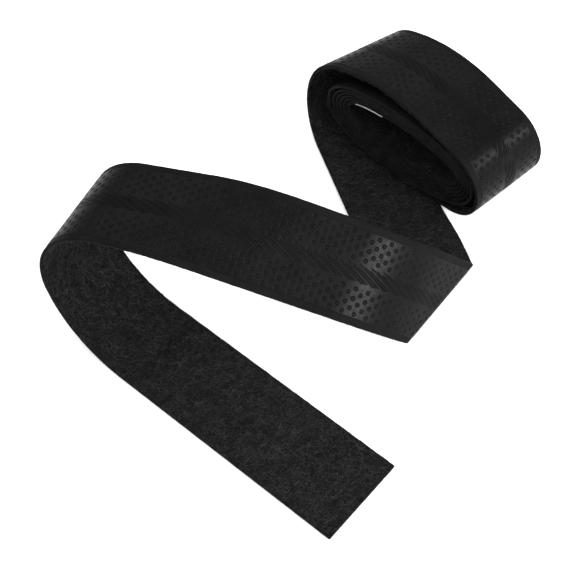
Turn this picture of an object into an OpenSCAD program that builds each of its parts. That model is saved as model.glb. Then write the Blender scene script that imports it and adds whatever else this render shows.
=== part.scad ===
// Replacement grip tape for a racket handle: a flattened roll with its loose end laid out in a zigzag.
// The loose end lies flat on the plane Z = 0, felt side up, and the roll's axis lies along Y behind it.
// The tape is one strip bent without stretching: every bend is a piece of a cylinder whose crease may run
// askew across the tape.  Lengths along the tape start 30 mm from its cut end.  Millimetres and degrees.

/* [Tape] */
// Width of the tape
tape_w = 27; // [24:0.5:27]
// Thickness of the embossed cover
cover_t = 0.5; // [0.3:0.05:0.5]
// Thickness of the felt backing
felt_t = 0.6; // [0.4:0.05:0.6]
// Length of flat tape between the origin and the cut end
end_length = 30; // [20:1:40]

/* [Roll] */
// Number of tight turns inside the loose outer turn
roll_turns = 6; // [3:1:6]
// Half the length of the tight turns
roll_half_length = 27.6; // [26:0.2:27.6]
// Half the height of the tight turns
roll_half_height = 12.9; // [11.9:0.1:12.9]
// Distance from the end of the roll's right-hand bend to the middle of the tight turns
roll_setback = 16.2; // [16.1:0.1:16.6]
// Air between one turn and the next
turn_gap = 0.06; // [0.04:0.01:0.08]
// How squarish the turns are: 2 is an ellipse
turn_squareness = 2.3; // [2:0.1:2.4]
// How far forward the tight turns drift towards the roll's left end, in degrees
roll_drift = 7; // [4:0.5:7]

/* [Bends] */
// Radius of the tight fold at the right
fold_radius = 2.5; // [2.2:0.1:2.6]
// Radius of the open loop at the left
loop_radius = 16; // [15.8:0.1:16.2]

/* [Paper] */
// Thickness of the release paper left on the tape's inner end
paper_t = 0.25; // [0.15:0.05:0.35]
// Part of a turn that the paper covers, in degrees
paper_angle = 40; // [20:2:50]

/* [Hidden] */

half_w = tape_w / 2;
turn_pitch = cover_t + felt_t + turn_gap;
turn_step = 10;       // part of a turn between the roll's facets
bend_step = 9;        // part of a bend between its facets
flex_gap = 0.5;       // half of the gap that lets two lengths of tape hinge on each other
tail_heading = 190;   // direction in which the tape runs from its cut end, about Z
cover_color = [0.13, 0.13, 0.14];
felt_color = [0.08, 0.08, 0.085];
paper_color = [0.95, 0.95, 0.93];

// The bends in order from the cut end: [start, skew of the crease, radius, angle].
// A positive angle bends the tape towards its felt.
BENDS = [
    [45, -9, 29, 60],
    [78, -13, loop_radius, 115],
    [121, -44, 28, 44],
    [175, -7, 43, 37],
    [210.8, -33, fold_radius, 113.5],
    [225, -3, 41, -19],
    [239, -5, 34, 13],
    [282, -13, 13.5, 158.5],
    [323, -6, 49, 36],
    [366, -2, 12.5, 166]
];
LEFT_LOOP = 1;        // the open loop
RIGHT_FOLD = 4;       // the tight fold
LEFT_END = 7;         // the bend round the roll's left end
RIGHT_END = 9;        // the bend round the roll's right end

// A frame is [origin, direction along the tape, direction across the tape] of a flat stretch
START = [
    [0, 0, cover_t],
    [cos(tail_heading), sin(tail_heading), 0],
    [-sin(tail_heading), cos(tail_heading), 0]
];

function bend_length(b) = b[2] * abs(b[3]) * PI / 180;
function crease(f, b) = sin(b[1]) * f[1] + cos(b[1]) * f[2];
function ahead(f, b) = cos(b[1]) * f[1] - sin(b[1]) * f[2];

// The point that is the angle a round the bend from its start, on the middle line of the tape
function on_arc(f, b, a) =
    f[0] + b[0] * f[1] + b[2] * sin(abs(a)) * ahead(f, b)
    + sign(b[3]) * b[2] * (1 - cos(a)) * cross(f[1], f[2]);

// The flat frame that follows a bend
function next_frame(f, b) =
    let (
        forward = ahead(f, b) * cos(b[3]) + cross(f[1], f[2]) * sin(b[3]),
        along = cos(b[1]) * forward + sin(b[1]) * crease(f, b),
        across = -sin(b[1]) * forward + cos(b[1]) * crease(f, b)
    )
    [on_arc(f, b, b[3]) - bend_length(b) * forward - b[0] * along, along, across];

function frame_after(n) = n == 0 ? START : next_frame(frame_after(n - 1), BENDS[n - 1]);
FRAMES = [for (i = [0:len(BENDS)]) frame_after(i)];

// Distance of the point [u, v] of the flat tape past the start of a bend, square to its crease
function past(b, u, v) = (u - b[0]) * cos(b[1]) - v * sin(b[1]);
function bends_begun(u, v) = len([for (b = BENDS) if (past(b, u, v) > 0) 1]);

// Place of the point u along and v across the tape, h above the joint of cover and felt on the felt's side
function tape_point(u, v, h) =
    let (n = bends_begun(u, v), b = BENDS[max(n - 1, 0)], f = FRAMES[max(n - 1, 0)], p = past(b, u, v))
    n == 0 || p >= bend_length(b)
    ? FRAMES[n][0] + u * FRAMES[n][1] + v * FRAMES[n][2] + h * cross(FRAMES[n][1], FRAMES[n][2])
    : let (
        a = sign(b[3]) * p / b[2] * 180 / PI,
        q = (u - b[0]) * sin(b[1]) + v * cos(b[1]),
        normal = cross(f[1], f[2]) * cos(a) - ahead(f, b) * sin(a)
    )
    on_arc(f, b, a) + q * crease(f, b) + h * normal;

// A station is [u, skew]: a straight line across the tape that crosses its middle at u.
// The stations of a bend lie on its creases, so that the strip between two of them is flat.
function bend_station(i, p) = [BENDS[i][0] + p / cos(BENDS[i][1]), BENDS[i][1]];
function bend_stations(i, from, to) =
    let (n = ceil(abs(BENDS[i][3]) * (to - from) / bend_length(BENDS[i]) / bend_step))
    [for (j = [0:n]) bend_station(i, from + (to - from) * j / n)];
function whole_bend(i) = bend_stations(i, 0.001, bend_length(BENDS[i]) - 0.001);
function first_half(i) = bend_stations(i, 0.001, bend_length(BENDS[i]) / 2 - flex_gap);
function second_half(i) = bend_stations(i, bend_length(BENDS[i]) / 2 + flex_gap, bend_length(BENDS[i]) - 0.001);

roll_middle = BENDS[RIGHT_END][0] + bend_length(BENDS[RIGHT_END]) / cos(BENDS[RIGHT_END][1]) + roll_setback;

TAIL = concat([[-end_length, 0]], whole_bend(0), first_half(LEFT_LOOP));
MIDDLE = concat(second_half(LEFT_LOOP), whole_bend(2), whole_bend(3), first_half(RIGHT_FOLD));
LEAD = concat(second_half(RIGHT_FOLD), whole_bend(5), whole_bend(6), first_half(LEFT_END));
OUTER_TURN = concat(second_half(LEFT_END), whole_bend(8), whole_bend(RIGHT_END), [[roll_middle, 0]]);

// A length of one layer of the tape, between the heights low and high
module strip(stations, low, high) {
    n = len(stations);
    corners = [[half_w, low], [half_w, high], [-half_w, high], [-half_w, low]];
    points = [
        for (s = stations)
        for (c = corners)
        tape_point(s[0] + c[0] * tan(s[1]), c[0], c[1])
    ];
    sides = [
        for (i = [0:n - 2])
        for (k = [0:3])
        let (a = 4 * i + k, b = 4 * i + (k + 1) % 4)
        for (face = [[a, b, b + 4], [a, b + 4, a + 4]])
        face
    ];
    ends = [[0, 2, 1], [0, 3, 2], [4 * n - 4, 4 * n - 3, 4 * n - 2], [4 * n - 4, 4 * n - 2, 4 * n - 1]];
    polyhedron(points = points, faces = concat(sides, ends), convexity = 10);
}

// Rounded power, which turns the roll's ellipse into a squarish oval
function squarish(x) = sign(x) * pow(abs(x), 2 / turn_squareness);

// Outline point of the roll after the turning angle a, with the offset d outwards from the tape's joint.
// The turning starts at the bottom and goes round by the left end, and each whole turn is one pitch smaller.
function turn_point(a, d) =
    let (shrink = turn_pitch * a / 360)
    [
        -(roll_half_length - shrink + d) * squarish(sin(a)),
        roll_half_height - (roll_half_height - shrink + d) * squarish(cos(a))
    ];

// The outline of one layer of the roll, between the offsets inner and outer
module turns(from, to, inner, outer) {
    n = ceil((to - from) / turn_step);
    step = (to - from) / n;
    polygon(concat(
        [for (i = [0:n]) turn_point(from + i * step, outer)],
        [for (i = [n:-1:0]) turn_point(from + i * step, inner)]
    ));
}

// Stands an outline drawn in X and Z up as a solid as wide as the tape, and puts it on the flat run under the
// roll.  The solid leans towards the front at its left end, round the right end of the roll.
module wound() {
    f = FRAMES[len(BENDS)];
    x = -f[1];
    y = -f[2];
    z = cross(f[1], f[2]);
    o = f[0] + roll_middle * f[1];
    lean = tan(roll_drift);
    multmatrix([
        [x[0] + lean * y[0], y[0], z[0], o[0] - lean * roll_half_length * y[0]],
        [x[1] + lean * y[1], y[1], z[1], o[1] - lean * roll_half_length * y[1]],
        [x[2] + lean * y[2], y[2], z[2], o[2] - lean * roll_half_length * y[2]],
        [0, 0, 0, 1]
    ])
        translate([0, half_w, 0])
            rotate([90, 0, 0])
                linear_extrude(tape_w)
                    children();
}

module coil_cover() {
    color(cover_color)
        wound()
            turns(0, 360 * roll_turns, 0, cover_t);
}

module coil_felt() {
    color(felt_color)
        wound()
            turns(0, 360 * roll_turns, -felt_t, 0);
}

module starter_paper() {
    paper_start = 360 * (roll_turns - 1) + 120;
    color(paper_color)
        wound()
            turns(paper_start, paper_start + paper_angle, -felt_t - 0.02 - paper_t, -felt_t - 0.02);
}

module outer_turn_cover() {
    color(cover_color)
        strip(OUTER_TURN, -cover_t, 0);
}

module outer_turn_felt() {
    color(felt_color)
        strip(OUTER_TURN, 0, felt_t);
}

module lead_cover() {
    color(cover_color)
        strip(LEAD, -cover_t, 0);
}

module lead_felt() {
    color(felt_color)
        strip(LEAD, 0, felt_t);
}

module middle_cover() {
    color(cover_color)
        strip(MIDDLE, -cover_t, 0);
}

module middle_felt() {
    color(felt_color)
        strip(MIDDLE, 0, felt_t);
}

module tail_cover() {
    color(cover_color)
        strip(TAIL, -cover_t, 0);
}

module tail_felt() {
    color(felt_color)
        strip(TAIL, 0, felt_t);
}

coil_cover();
coil_felt();
starter_paper();
outer_turn_cover();
outer_turn_felt();
lead_cover();
lead_felt();
middle_cover();
middle_felt();
tail_cover();
tail_felt();
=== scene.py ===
"""Looks for the grip tape roll: one strip of embossed cover on felt, rolled up, its loose end in a zigzag."""

import math

import bpy
import numpy as np
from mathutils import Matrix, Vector


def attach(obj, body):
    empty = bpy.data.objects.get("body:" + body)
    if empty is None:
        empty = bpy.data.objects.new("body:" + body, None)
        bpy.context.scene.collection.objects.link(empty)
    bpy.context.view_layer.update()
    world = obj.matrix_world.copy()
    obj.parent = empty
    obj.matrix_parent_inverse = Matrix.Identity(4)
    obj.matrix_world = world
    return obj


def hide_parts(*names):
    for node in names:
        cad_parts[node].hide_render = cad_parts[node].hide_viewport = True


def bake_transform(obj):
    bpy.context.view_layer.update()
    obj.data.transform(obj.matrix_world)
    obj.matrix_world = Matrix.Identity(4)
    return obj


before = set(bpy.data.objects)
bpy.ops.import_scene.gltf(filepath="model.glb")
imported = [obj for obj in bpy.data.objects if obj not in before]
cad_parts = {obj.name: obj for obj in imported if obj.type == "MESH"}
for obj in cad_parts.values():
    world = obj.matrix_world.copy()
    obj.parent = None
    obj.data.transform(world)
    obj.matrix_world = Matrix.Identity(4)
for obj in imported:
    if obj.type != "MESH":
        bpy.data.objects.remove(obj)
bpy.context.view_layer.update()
MM = 0.001

# ---------------- the tape's sizes, as in the CAD part (mm, degrees)
TAPE_W = 27.0
HALF_W = TAPE_W / 2
COVER_T = 0.5
FELT_T = 0.6
CUT_END = -30.0  # the tape's cut end, measured along the tape
TAIL_HEADING = 190.0
BENDS = [  # start, skew of the crease, radius, angle
    (45.0, -9, 29.0, 60.0),
    (78.0, -13, 16.0, 115.0),
    (121.0, -44, 28.0, 44.0),
    (175.0, -7, 43.0, 37.0),
    (210.8, -33, 2.5, 113.5),
    (225.0, -3, 41.0, -19.0),
    (239.0, -5, 34.0, 13.0),
    (282.0, -13, 13.5, 158.5),
    (323.0, -6, 49.0, 36.0),
    (366.0, -2, 12.5, 166.0),
]
LEFT_LOOP, RIGHT_FOLD, LEFT_END, RIGHT_END = 1, 4, 7, 9

ROLL_TURNS = 6
ROLL_HALF_LENGTH = 27.6
ROLL_HALF_HEIGHT = 12.9
ROLL_SETBACK = 16.2
TURN_PITCH = COVER_T + FELT_T + 0.06
TURN_SQUARENESS = 2.3
ROLL_DRIFT = math.tan(math.radians(7))
TURN_STAGGER = 0.28  # each turn sits this much further back than the one round it
SECOND_TURN_GAP = 0.5  # air at the roll's ends inside its outermost tight turn
GAP_FROM, GAP_OVER = 200, 140  # turning angle where that air begins, and the angle over which it opens
WOBBLE_OVER = 200  # turning angle over which the turns' unevenness sets in
SLOPE_REACH = 0.25  # turning angle to each side over which the outline's direction is taken


# ---------------- where a point of the flat tape lies
def flat_frames():
    """[origin, along, across] of the tape's flat stretches, one more than there are bends."""
    heading = math.radians(TAIL_HEADING)
    origin = np.array([0.0, 0.0, COVER_T])
    along = np.array([math.cos(heading), math.sin(heading), 0.0])
    across = np.array([-math.sin(heading), math.cos(heading), 0.0])
    frames = [(origin, along, across)]
    for start, skew, radius, angle in BENDS:
        skew, angle = math.radians(skew), math.radians(angle)
        normal = np.cross(along, across)
        crease = math.sin(skew) * along + math.cos(skew) * across
        ahead = math.cos(skew) * along - math.sin(skew) * across
        turn = abs(angle)
        side = math.copysign(1.0, angle)
        arc_end = origin + start * along + radius * math.sin(turn) * ahead
        arc_end = arc_end + side * radius * (1 - math.cos(turn)) * normal
        forward = ahead * math.cos(angle) + normal * math.sin(angle)
        along = math.cos(skew) * forward + math.sin(skew) * crease
        across = -math.sin(skew) * forward + math.cos(skew) * crease
        origin = arc_end - radius * turn * forward - start * along
        frames.append((origin, along, across))
    return frames


FRAMES = flat_frames()


def tape_point(u, v, h):
    """Place, in mm, of the points u along and v across the tape, h above the joint of cover and felt."""
    u, v, h = np.broadcast_arrays(np.asarray(u, float), np.asarray(v, float), np.asarray(h, float))
    origin, along, across = FRAMES[0]
    u_, v_, h_ = u[..., None], v[..., None], h[..., None]
    out = origin + u_ * along + v_ * across + h_ * np.cross(along, across)
    for (start, skew, radius, angle), before, after in zip(BENDS, FRAMES, FRAMES[1:]):
        skew, angle = math.radians(skew), math.radians(angle)
        side = math.copysign(1.0, angle)
        past = (u - start) * math.cos(skew) - v * math.sin(skew)
        level = ((u - start) * math.sin(skew) + v * math.cos(skew))[..., None]
        origin, along, across = before
        normal = np.cross(along, across)
        crease = math.sin(skew) * along + math.cos(skew) * across
        ahead = math.cos(skew) * along - math.sin(skew) * across
        turned = (np.clip(past, 0, radius * abs(angle)) / radius)[..., None]
        bent = origin + start * along + radius * np.sin(turned) * ahead
        bent = bent + side * radius * (1 - np.cos(turned)) * normal + level * crease
        bent = bent + h_ * (np.cos(turned) * normal - side * np.sin(turned) * ahead)
        origin, along, across = after
        flat = origin + u_ * along + v_ * across + h_ * np.cross(along, across)
        past = past[..., None]
        out = np.where(past > radius * abs(angle), flat, np.where(past > 0, bent, out))
    return out


def bend_end(i):
    start, skew, radius, angle = BENDS[i]
    return start + radius * math.radians(abs(angle)) / math.cos(math.radians(skew))


ROLL_MIDDLE = bend_end(RIGHT_END) + ROLL_SETBACK
ROLL_LEAN = ROLL_DRIFT * ROLL_HALF_LENGTH


def smooth(x):
    x = np.clip(x, 0, 1)
    return x * x * (3 - 2 * x)


def run_point(u, v, h):
    """tape_point, with the last stretch under the roll drifting forward to meet the tight turns."""
    drift = ROLL_LEAN * smooth((np.asarray(u, float) - bend_end(RIGHT_END) + 4) / (ROLL_SETBACK + 4))
    across = FRAMES[-1][2]
    return tape_point(u, v, h) + drift[..., None] * across


# ---------------- the tight turns
def squarish(x):
    """Turns the sine and cosine of a circle into those of a rounder-cornered oval."""
    return np.sign(x) * np.abs(x) ** (2 / TURN_SQUARENESS)


def turn_outline(a):
    """Outline in mm, at the turning angle a, of the joint of cover and felt in the tight turns."""
    shrink = TURN_PITCH * a / 360
    gap = SECOND_TURN_GAP * smooth((a - GAP_FROM) / GAP_OVER)
    x = -(ROLL_HALF_LENGTH - shrink - gap) * squarish(np.sin(np.radians(a)))
    z = ROLL_HALF_HEIGHT - (ROLL_HALF_HEIGHT - shrink) * squarish(np.cos(np.radians(a)))
    return x, z


TURN_ANGLES = np.linspace(0, 360 * ROLL_TURNS, 720 * ROLL_TURNS)
TURN_STEPS = np.hypot(*(np.diff(way) for way in turn_outline(TURN_ANGLES)))
TURN_LENGTHS = np.concatenate([[0], np.cumsum(TURN_STEPS)])  # along the tape, at each turning angle
ROLLED_LENGTH = float(TURN_LENGTHS[-1])


def roll_point(u, v, h):
    """Place of the points of the tape in the tight turns, with u measured from where they start."""
    u, v, h = np.broadcast_arrays(np.asarray(u, float), np.asarray(v, float), np.asarray(h, float))
    a = np.interp(u, TURN_LENGTHS, TURN_ANGLES)
    x, z = turn_outline(a)
    x1, z1 = turn_outline(a + SLOPE_REACH)
    x0, z0 = turn_outline(np.maximum(a - SLOPE_REACH, 0))
    tx, tz = x1 - x0, z1 - z0
    size = np.hypot(tx, tz)
    x = x + h * tz / size
    z = z - h * tx / size
    back = ROLL_DRIFT * (x - ROLL_HALF_LENGTH) + TURN_STAGGER * np.clip(a / 360 - 0.5, 0, None)
    wobble = 0.10 * np.sin(a * 0.031 + 1.0) + 0.07 * np.sin(a * 0.083)  # turns are never wound quite true
    y = -v + back + wobble * smooth(a / WOBBLE_OVER)
    origin, along, across = FRAMES[-1]
    origin = origin + ROLL_MIDDLE * along
    x_, y_, z_ = x[..., None], y[..., None], z[..., None]
    return origin - x_ * along - y_ * across + z_ * np.cross(along, across)


# ---------------- relief of the embossed cover
RING_STEP = 1.9  # from one column of rings to the next, along the tape
RING_RADIUS = 0.43  # to the middle of the ring's groove
RING_GROOVE = 0.2  # half of the groove's width
RING_DEPTH = 0.22
# Distance of the rows of rings from the tape's middle, for even columns and for odd ones
RING_ROWS = ((3.9, 6.5, 9.1), (5.2, 7.8, 10.4))
SLASH_SLOPE = 0.48  # how far across a diagonal groove goes for each mm along
SLASH_PERIOD = 3.8
SLASHES = (0.3, 1.35, 2.4)  # where the grooves of one period lie along the tape
SLASH_GROOVE = 0.17  # half of the groove's width
SLASH_DEPTH = 0.2
SLASH_REACH = (2.5, 2.25, 2.0)  # half of each groove's extent across the tape
SLASH_STAGGER = 2.1  # the reach at which a groove is centred; shorter ones sit to one side
SLASH_FADE = 0.35
BORDER = 11.5  # from the tape's middle to the plain border
BORDER_GROOVE = 0.16
BORDER_DEPTH = 0.12
BORDER_STEP = 0.06  # how much lower the plain border lies than the patterned middle
BORDER_FADE = 0.3
EDGE_ROUND = 0.35
COVER_LEAST = 0.05  # thickness that is left at the deepest point


def groove(distance, half_width):
    """1 in the middle of a groove, falling smoothly to 0 at its sides."""
    return 1 - smooth(np.abs(distance) / half_width)


def relief(u, v):
    """Height of the cover's outside over its plain thickness, in mm; it is never above it."""
    depth = np.zeros(np.broadcast(u, v).shape)
    for parity, rows in enumerate(RING_ROWS):
        du = (u - parity * RING_STEP + RING_STEP) % (2 * RING_STEP) - RING_STEP
        for row in rows:
            for side in (-1, 1):
                r = np.hypot(du, v - side * row)
                depth = np.maximum(depth, RING_DEPTH * groove(r - RING_RADIUS, RING_GROOVE))
    along = u - v / SLASH_SLOPE
    for at, reach in zip(SLASHES, SLASH_REACH):
        off = (along - at + SLASH_PERIOD / 2) % SLASH_PERIOD - SLASH_PERIOD / 2
        off = off * math.sin(math.atan(SLASH_SLOPE))
        end = smooth((reach - np.abs(v - 0.5 * (SLASH_STAGGER - reach))) / SLASH_FADE)
        depth = np.maximum(depth, SLASH_DEPTH * groove(off, SLASH_GROOVE) * end)
    depth = np.maximum(depth, BORDER_STEP * smooth((np.abs(v) - BORDER) / BORDER_FADE))
    depth = np.maximum(depth, BORDER_DEPTH * groove(np.abs(v) - BORDER, BORDER_GROOVE))
    rim = np.clip(np.abs(v) - (HALF_W - EDGE_ROUND), 0, EDGE_ROUND)
    depth = depth + EDGE_ROUND - np.sqrt(EDGE_ROUND**2 - rim**2)
    return -np.minimum(depth, COVER_T - COVER_LEAST)


# ---------------- mesh helpers
def make_mesh(name, points, faces, materials, face_material=None):
    """A smooth-shaded mesh from points in mm and an array of quads."""
    mesh = bpy.data.meshes.new(name)
    faces = np.asarray(faces, np.int32)
    mesh.vertices.add(len(points))
    mesh.vertices.foreach_set("co", (np.asarray(points) * MM).astype(np.float32).ravel())
    mesh.loops.add(faces.size)
    mesh.loops.foreach_set("vertex_index", faces.ravel())
    mesh.polygons.add(len(faces))
    mesh.polygons.foreach_set("loop_start", np.arange(0, faces.size, 4, dtype=np.int32))
    mesh.polygons.foreach_set("loop_total", np.full(len(faces), 4, np.int32))
    mesh.polygons.foreach_set("use_smooth", np.ones(len(faces), bool))
    for material in materials:
        mesh.materials.append(material)
    if face_material is not None:
        mesh.polygons.foreach_set("material_index", np.asarray(face_material, np.int32))
    mesh.update(calc_edges=True)
    obj = bpy.data.objects.new(name, mesh)
    bpy.context.scene.collection.objects.link(obj)
    return obj


def grid_faces(rows, columns, flip):
    """Quads of a grid whose points are numbered row by row."""
    i, j = np.meshgrid(np.arange(rows - 1), np.arange(columns - 1), indexing="ij")
    a = i * columns + j
    quad = np.stack([a, a + 1, a + columns + 1, a + columns], -1).reshape(-1, 4)
    return quad[:, ::-1] if flip else quad


def axis_steps(low, high, step):
    return np.linspace(low, high, max(2, int(round((high - low) / step)) + 1))


def with_walls(u, v, outside, caps):
    """The grid of a surface, with walls down to the joint at both sides and at the capped ends."""
    joint = np.zeros((len(u), 1))
    v = np.concatenate([v[:, :1], v, v[:, -1:]], 1)
    h = np.concatenate([joint, outside, joint], 1)
    u = np.repeat(u[:, :1], v.shape[1], 1)
    if caps[0]:
        u, v, h = (np.concatenate([q[:1], q]) for q in (u, v, h))
        h[0] = 0
    if caps[1]:
        u, v, h = (np.concatenate([q, q[-1:]]) for q in (u, v, h))
        h[-1] = 0
    return u, v, h


def edge_wobble(u, v, seed, size):
    """Small unevenness of the tape's cut sides."""
    phase = np.random.default_rng(seed).uniform(0, 6.28, 6)
    side = (v > 0).astype(float)
    total = 0
    for k, (wave, p) in enumerate(zip((0.9, 1.7, 3.1, 5.3, 8.9, 13.7), phase)):
        total = total + np.sin(u * wave + p + side * 2.1 * k) / (k + 1.5)
    near = smooth((np.abs(v) - (HALF_W - 0.8)) / 0.8)
    return total * size * near * np.sign(v)


COVER_SEED, COVER_WOBBLE = 3, 0.02


def cover_piece(name, place, low, stretches, caps=(False, False)):
    """The embossed cover from low on, with its cut sides; a stretch is its end and its mesh spacing."""
    u = [low]
    for stop, step in stretches:
        u.extend(axis_steps(u[-1], stop, step)[1:])
    u = np.array(u)
    v = axis_steps(-HALF_W, HALF_W, min(step for _, step in stretches))
    grid_u, grid_v = np.meshgrid(u, v, indexing="ij")
    outside = -(COVER_T + relief(grid_u, grid_v))
    u_all, v_all, h_all = with_walls(grid_u, grid_v, outside, caps)
    points = place(u_all, v_all + edge_wobble(u_all, v_all, COVER_SEED, COVER_WOBBLE), h_all)
    rows, columns = u_all.shape
    faces = grid_faces(rows, columns, True)
    pattern, edge, border = range(3)
    part = np.full((rows - 1, columns - 1), pattern, np.int32)
    middles = (v_all[0, 1:] + v_all[0, :-1]) / 2
    part[:, np.abs(middles) > BORDER] = border
    part[:, 0] = part[:, -1] = edge
    if caps[0]:
        part[0] = edge
    if caps[1]:
        part[-1] = edge
    materials = [COVER, COVER_EDGE, BORDER_COVER]
    return make_mesh(name, points.reshape(-1, 3), faces, materials, part.ravel())


FELT_SEED, FELT_WOBBLE = 5, 0.035
FELT_EDGE_ROUND = 0.3
FELT_SINK = 0.03  # how far the felt's mean surface lies under its full thickness, for the fibres


def felt_height(u, v):
    """Low, cloudy unevenness of the felt."""
    phase = np.random.default_rng(FELT_SEED).uniform(0, 6.28, (9, 2))
    total = 0
    for k, (p, q) in enumerate(phase):
        a = 0.7 + 0.55 * k
        turn = 2.4 * k
        total = total + np.sin(a * (u * math.cos(turn) + v * math.sin(turn)) + p) * np.sin(
            0.8 * a * (v * math.cos(turn) - u * math.sin(turn)) + q
        ) / (1.5 + 0.5 * k)
    return 0.022 * total


def felt_piece(name, place, low, high, step, fibres_per_mm2, seed, caps=(False, False)):
    """The felt between two places along the tape, with its cut sides and its loose surface fibres."""
    u = axis_steps(low, high, step)
    v = axis_steps(-HALF_W, HALF_W, step)
    grid_u, grid_v = np.meshgrid(u, v, indexing="ij")
    rim = np.clip(np.abs(grid_v) - (HALF_W - FELT_EDGE_ROUND), 0, FELT_EDGE_ROUND)
    rounding = FELT_EDGE_ROUND - np.sqrt(FELT_EDGE_ROUND**2 - rim**2)
    outside = FELT_T + felt_height(grid_u, grid_v) - rounding - FELT_SINK
    u_all, v_all, h_all = with_walls(grid_u, grid_v, outside, caps)
    wobble = edge_wobble(u_all, v_all, seed, FELT_WOBBLE)
    points = place(u_all, v_all + wobble, h_all).reshape(-1, 3)
    rows, columns = u_all.shape
    faces = grid_faces(rows, columns, False)
    index = np.zeros(len(faces), np.int32)
    strands, strand_faces = fibres(place, low, high, fibres_per_mm2, seed)
    strand_faces = strand_faces + len(points)
    index = np.concatenate([index, np.ones(len(strand_faces), np.int32)])
    points = np.concatenate([points, strands])
    faces = np.concatenate([faces, strand_faces])
    return make_mesh(name, points, faces, [FELT, FIBRE], index)


FIBRE_RINGS = 6  # cross-sections along one fibre


def fibres(place, low, high, density, seed):
    """Loose fibres lying on the felt: thin curved tubes of three sides."""
    rng = np.random.default_rng(seed)
    count = int((high - low) * TAPE_W * density)
    margin = 0.3
    u0 = rng.uniform(low + margin, high - margin, count)
    v0 = rng.uniform(-HALF_W + 0.1, HALF_W - 0.1, count)
    heading = rng.uniform(0, 2 * math.pi, count)
    bend = rng.normal(0, 0.5, count)
    length = rng.uniform(1.0, 3.6, count)
    radius = rng.uniform(0.012, 0.026, count)
    lift = rng.uniform(-0.01, 0.07, count)
    t = np.linspace(0, 1, FIBRE_RINGS)
    angle = heading[:, None] + bend[:, None] * t[None, :]
    du = np.cumsum(np.cos(angle), 1) * length[:, None] / FIBRE_RINGS
    dv = np.cumsum(np.sin(angle), 1) * length[:, None] / FIBRE_RINGS
    u = np.clip(u0[:, None] + du, low + 0.02, high - 0.02)
    v = np.clip(v0[:, None] + dv, -HALF_W - 0.05, HALF_W + 0.05)
    arch = FELT_T - FELT_SINK + lift[:, None] * np.sin(math.pi * t)[None, :] + felt_height(u, v)
    side = np.array([0, 2 * math.pi / 3, 4 * math.pi / 3])
    out_u = u[..., None] - np.sin(angle)[..., None] * np.cos(side) * radius[:, None, None]
    out_v = v[..., None] + np.cos(angle)[..., None] * np.cos(side) * radius[:, None, None]
    out_h = arch[..., None] + np.sin(side) * radius[:, None, None] + 0.01
    points = place(out_u, out_v, out_h).reshape(-1, 3)
    ring = np.arange(FIBRE_RINGS - 1)[:, None] * 3
    k = np.arange(3)[None, :]
    following = (k + 1) % 3
    quad = np.stack([ring + k, ring + following, ring + 3 + following, ring + 3 + k], -1).reshape(-1, 4)
    faces = (np.arange(count)[:, None, None] * (3 * FIBRE_RINGS) + quad[None]).reshape(-1, 4)
    return points, faces


# ---------------- materials
def new_material(name, color, roughness):
    """A Principled material; returns it with its node tree, shader and object coordinates."""
    material = bpy.data.materials.new(name)
    material.use_nodes = True
    tree = material.node_tree
    shader = tree.nodes["Principled BSDF"]
    shader.inputs["Base Color"].default_value = (*color, 1)
    shader.inputs["Roughness"].default_value = roughness
    coordinates = tree.nodes.new("ShaderNodeTexCoord").outputs["Object"]
    return material, tree, shader, coordinates


def noise(tree, coordinates, scale, detail=3.0):
    node = tree.nodes.new("ShaderNodeTexNoise")
    node.inputs["Scale"].default_value = scale
    node.inputs["Detail"].default_value = detail
    tree.links.new(coordinates, node.inputs["Vector"])
    return node.outputs["Fac"]


def ramp(tree, value, low, high):
    node = tree.nodes.new("ShaderNodeValToRGB")
    node.color_ramp.elements[0].position = 0.3
    node.color_ramp.elements[1].position = 0.7
    node.color_ramp.elements[0].color = (*low, 1)
    node.color_ramp.elements[1].color = (*high, 1)
    tree.links.new(value, node.inputs["Fac"])
    return node.outputs["Color"]


def tint(tree, shader, coordinates, scale, detail, dark, light):
    """Cloudy variation of the base colour from dark to light."""
    clouds = noise(tree, coordinates, scale, detail)
    tree.links.new(ramp(tree, clouds, dark, light), shader.inputs["Base Color"])


def bump(tree, shader, height, strength, distance, normal=None):
    node = tree.nodes.new("ShaderNodeBump")
    node.inputs["Strength"].default_value = strength
    node.inputs["Distance"].default_value = distance
    tree.links.new(height, node.inputs["Height"])
    if normal is not None:
        tree.links.new(normal, node.inputs["Normal"])
    tree.links.new(node.outputs["Normal"], shader.inputs["Normal"])
    return node.outputs["Normal"]


def cover_material():
    material, tree, shader, at = new_material("embossed_polyurethane", (0.0028, 0.0028, 0.003), 0.34)
    shader.inputs["Specular IOR Level"].default_value = 0.04
    tint(tree, shader, at, 160.0, 4.0, (0.002, 0.002, 0.0021), (0.0036, 0.0036, 0.0038))
    rough = noise(tree, at, 900.0, 4.0)
    tree.links.new(ramp(tree, rough, (0.28,) * 3, (0.40,) * 3), shader.inputs["Roughness"])
    pores = tree.nodes.new("ShaderNodeTexVoronoi")
    pores.inputs["Scale"].default_value = 5200.0
    tree.links.new(at, pores.inputs["Vector"])
    first = bump(tree, shader, pores.outputs["Distance"], 0.10, 0.00004)
    bump(tree, shader, noise(tree, at, 2600.0, 5.0), 0.12, 0.00008, first)
    return material


def border_material():
    """The plain borders, duller than the patterned middle."""
    material, tree, shader, at = new_material("plain_border", (0.005, 0.005, 0.0052), 0.62)
    shader.inputs["Specular IOR Level"].default_value = 0.035
    tint(tree, shader, at, 240.0, 4.0, (0.0025, 0.0025, 0.0026), (0.004, 0.004, 0.0042))
    bump(tree, shader, noise(tree, at, 3200.0, 6.0), 0.2, 0.00008)
    return material


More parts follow.
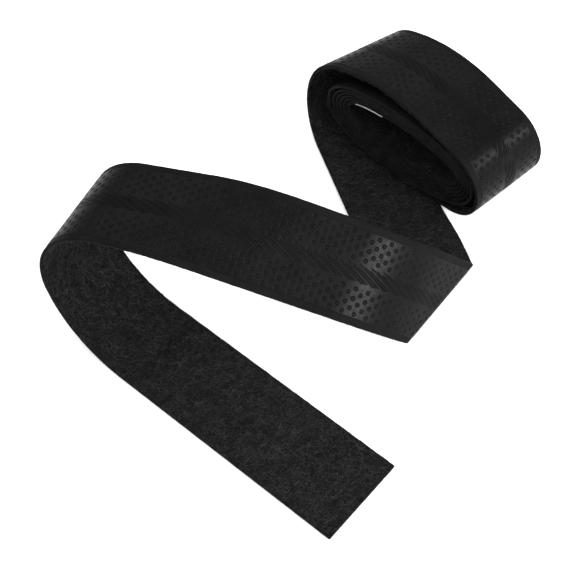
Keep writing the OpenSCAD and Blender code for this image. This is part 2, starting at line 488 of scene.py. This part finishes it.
def edge_material():
    material, tree, shader, at = new_material("cut_edge", (0.016, 0.016, 0.017), 0.6)
    shader.inputs["Specular IOR Level"].default_value = 0.07
    bump(tree, shader, noise(tree, at, 3000.0, 5.0), 0.3, 0.0001)
    tint(tree, shader, at, 1200.0, 4.0, (0.0035, 0.0035, 0.0037), (0.009, 0.009, 0.0093))
    return material


def felt_material():
    material, tree, shader, at = new_material("felt", (0.007, 0.007, 0.0075), 0.95)
    shader.inputs["Specular IOR Level"].default_value = 0.05
    shader.inputs["Sheen Weight"].default_value = 0.008
    shader.inputs["Sheen Roughness"].default_value = 0.5
    tint(tree, shader, at, 420.0, 6.0, (0.0015, 0.0015, 0.0016), (0.0055, 0.0055, 0.0058))
    first = bump(tree, shader, noise(tree, at, 1500.0, 8.0), 0.5, 0.0002)
    bump(tree, shader, noise(tree, at, 5000.0, 8.0), 0.5, 0.0001, first)
    return material


def fibre_material():
    material, tree, shader, at = new_material("felt_fibre", (0.02, 0.02, 0.021), 0.45)
    shader.inputs["Specular IOR Level"].default_value = 0.4
    tint(tree, shader, at, 700.0, 2.0, (0.004, 0.004, 0.0042), (0.030, 0.030, 0.031))
    return material


def paper_material():
    material, tree, shader, at = new_material("release_paper", (0.5, 0.5, 0.49), 0.5)
    tint(tree, shader, at, 800.0, 5.0, (0.45, 0.45, 0.44), (0.56, 0.56, 0.55))
    bump(tree, shader, noise(tree, at, 2500.0, 4.0), 0.15, 0.00005)
    return material


def floor_material():
    material, tree, shader, at = new_material("pale_floor", (0.92, 0.92, 0.92), 0.9)
    shader.inputs["Specular IOR Level"].default_value = 0.1
    tint(tree, shader, at, 3.0, 2.0, (0.915,) * 3, (0.925,) * 3)
    return material


COVER = cover_material()
COVER_EDGE = edge_material()
BORDER_COVER = border_material()
FELT = felt_material()
FIBRE = fibre_material()
PAPER = paper_material()

# ---------------- pieces of the loose tape
# Spacing of the cover's mesh, in mm, where its pattern is in full view, and elsewhere
FINE = 0.1
COARSE = 0.27
FIBRES = 2.6  # loose fibres on a square millimetre of felt

# Where along the tape one piece ends and the next begins
TAIL_SEAM = 40.0
MIDDLE_SEAM = 158.0
LEAD_SEAM = 262.0
TOP_SEAM = 322.0


def hinge_line(i, reach):
    """The points reach mm past and before the middle of a bend, square to its crease, in metres."""
    start, skew, radius, angle = BENDS[i]
    origin, along, across = FRAMES[i]
    skew, half = math.radians(skew), math.radians(angle) / 2
    ahead = math.cos(skew) * along - math.sin(skew) * across
    normal = np.cross(along, across)
    middle = tape_point((start + bend_end(i)) / 2, 0.0, 0.0)
    direction = ahead * math.cos(half) + normal * math.sin(half)
    return [Vector((middle + s * reach * direction) * MM) for s in (1, -1)]


def declare(obj, length, held, rests_on, slot, *nodes):
    if nodes:
        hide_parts(*nodes)


def run(name, low, high, stretches, held, rests_on, nodes, seed, caps=(False, False)):
    """Cover and felt of one stretch of the loose tape."""
    cover = cover_piece(name + ".cover", run_point, low, stretches, caps)
    felt = felt_piece(name + ".felt", run_point, low, high, COARSE, FIBRES, seed, caps)
    declare(cover, high - low, held, rests_on, "embossed_cover", *[n + "_cover" for n in nodes])
    declare(felt, high - low, held, rests_on, "felt_backing", *[n + "_felt" for n in nodes])
    return cover, felt


# Where the cover's pattern comes into full view or leaves it again
LOOP_TOP, FOLD_UNDER, ROLL_TOP, ROLL_UNDER = 95.0, 217.0, 300.0, 395.0

tail = [(TAIL_SEAM, COARSE)]
for piece in run("end", CUT_END, TAIL_SEAM, tail, "laid", ["floor"], ["tail"], 11, (True, False)):
    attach(piece, "loose_end")

start, end = hinge_line(LEFT_LOOP, 11.0)
loop = [(LOOP_TOP, COARSE), (MIDDLE_SEAM, FINE)]
for piece in run("loop", TAIL_SEAM, MIDDLE_SEAM, loop, "laid", ["floor"], ["middle"], 12):
    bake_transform(piece)

start, end = hinge_line(RIGHT_FOLD, 2.4)
fold = [(FOLD_UNDER, FINE), (LEAD_SEAM, COARSE)]
for piece in run("fold", MIDDLE_SEAM, LEAD_SEAM, fold, "folded", ["floor"], ["lead"], 13):
    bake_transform(piece)

start, end = hinge_line(LEFT_END, 9.0)
pay_out = [(ROLL_TOP, COARSE), (TOP_SEAM, FINE)]
for piece in run("pay_out", LEAD_SEAM, TOP_SEAM, pay_out, "laid", ["floor"], [], 14):
    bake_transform(piece)

top = [(ROLL_UNDER, FINE), (ROLL_MIDDLE, COARSE)]
under = ["tight_turns.cover"]
for piece in run("outer_turn", TOP_SEAM, ROLL_MIDDLE, top, "folded", under, ["outer_turn"], 15):
    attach(piece, "roll")

# ---------------- the tight turns and the paper inside them
turns_cover = cover_piece(
    "tight_turns.cover", roll_point, 0.0, [(ROLLED_LENGTH, 0.3)], (False, True)
)
turns_felt = felt_piece("tight_turns.felt", roll_point, 0.0, ROLLED_LENGTH, 0.6, 0.3, 16, (False, True))
for piece, slot, node in (
    (turns_cover, "embossed_cover", "coil_cover"),
    (turns_felt, "felt_backing", "coil_felt"),
):
    declare(piece, ROLLED_LENGTH, "folded", ["outer_turn.cover"], slot, node)
    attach(piece, "roll")

PAPER_T = 0.12
PAPER_START, PAPER_TURN = 360 * (ROLL_TURNS - 1) + 120.0, 40.0


def paper_piece():
    low, high = np.interp([PAPER_START, PAPER_START + PAPER_TURN], TURN_ANGLES, TURN_LENGTHS)
    u = axis_steps(low, high, 0.4)
    section = [(-1, 0.0), (-1, PAPER_T), (1, PAPER_T), (1, 0.0)]  # open where it lies on the felt
    v = np.array([s * HALF_W for s, _ in section])
    h = np.array([FELT_T + 0.05 + t for _, t in section])
    grid_u, grid_v = np.meshgrid(u, v, indexing="ij")
    points = roll_point(grid_u, grid_v, np.broadcast_to(h, grid_u.shape)).reshape(-1, 3)
    faces = grid_faces(len(u), len(section), False)
    last = (len(u) - 1) * len(section)
    caps = np.array([[0, 3, 2, 1], [last, last + 1, last + 2, last + 3]])
    paper = make_mesh("starter_paper.strip", points, np.concatenate([faces, caps]), [PAPER])
    paper.data.polygons.foreach_set("use_smooth", np.zeros(len(paper.data.polygons), bool))
    return paper, high - low


paper, paper_length = paper_piece()
declare(paper, paper_length, "laid", ["tight_turns.felt"], "release_paper", "starter_paper")
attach(paper, "roll")

# ---------------- floor, light and camera
FLOOR_SIZE = 12.0
bpy.ops.mesh.primitive_plane_add(size=FLOOR_SIZE, location=(0, 0, -0.0001))
floor = bpy.context.object
floor.name = "floor"
floor.data.materials.append(floor_material())

CAMERA_TARGET = Vector((-0.03412, 0.03329, 0.0))
CAMERA_DISTANCE = 0.39287
CAMERA_AZIMUTH = math.radians(50.23)
CAMERA_ELEVATION = math.radians(55.74)
SENSOR = 36.0
LENS = 86.37

away = Vector(
    (
        math.sin(CAMERA_AZIMUTH) * math.cos(CAMERA_ELEVATION),
        -math.cos(CAMERA_AZIMUTH) * math.cos(CAMERA_ELEVATION),
        math.sin(CAMERA_ELEVATION),
    )
)
camera_data = bpy.data.cameras.new("camera")
camera_data.sensor_width = SENSOR
camera_data.lens = LENS
camera_data.clip_start = 0.01
camera_data.clip_end = 50
camera = bpy.data.objects.new("camera", camera_data)
bpy.context.scene.collection.objects.link(camera)
camera.location = CAMERA_TARGET + CAMERA_DISTANCE * away
camera.rotation_euler = away.to_track_quat("Z", "Y").to_euler()
bpy.context.scene.camera = camera


def area_light(name, target, azimuth, elevation, distance, size, power):
    """A square soft light that looks at target from that direction."""
    azimuth, elevation = math.radians(azimuth), math.radians(elevation)
    side = Vector(
        (
            math.sin(azimuth) * math.cos(elevation),
            -math.cos(azimuth) * math.cos(elevation),
            math.sin(elevation),
        )
    )
    data = bpy.data.lights.new(name, "AREA")
    data.shape = "SQUARE"
    data.size = size
    data.energy = power
    light = bpy.data.objects.new(name, data)
    bpy.context.scene.collection.objects.link(light)
    light.location = target + distance * side
    light.rotation_euler = side.to_track_quat("Z", "Y").to_euler()
    return light


middle = Vector((-0.03, 0.045, 0.02))
area_light("key", middle, 20, 62, 1.1, 0.8, 8.0)
area_light("strip_gloss", Vector((-0.010, 0.044, 0.026)), 104, 21, 0.9, 0.22, 9.5)
area_light("roll_gloss", Vector((-0.019, 0.098, 0.025)), 135, 31, 0.9, 0.22, 5.0)
area_light("back_fill", middle, 235, 55, 1.3, 1.0, 6.0)

world = bpy.data.worlds.new("studio")
world.use_nodes = True
world.node_tree.nodes["Background"].inputs["Color"].default_value = (1, 1, 1, 1)
world.node_tree.nodes["Background"].inputs["Strength"].default_value = 1.0
bpy.context.scene.world = world
bpy.context.scene.view_settings.view_transform = "Standard"
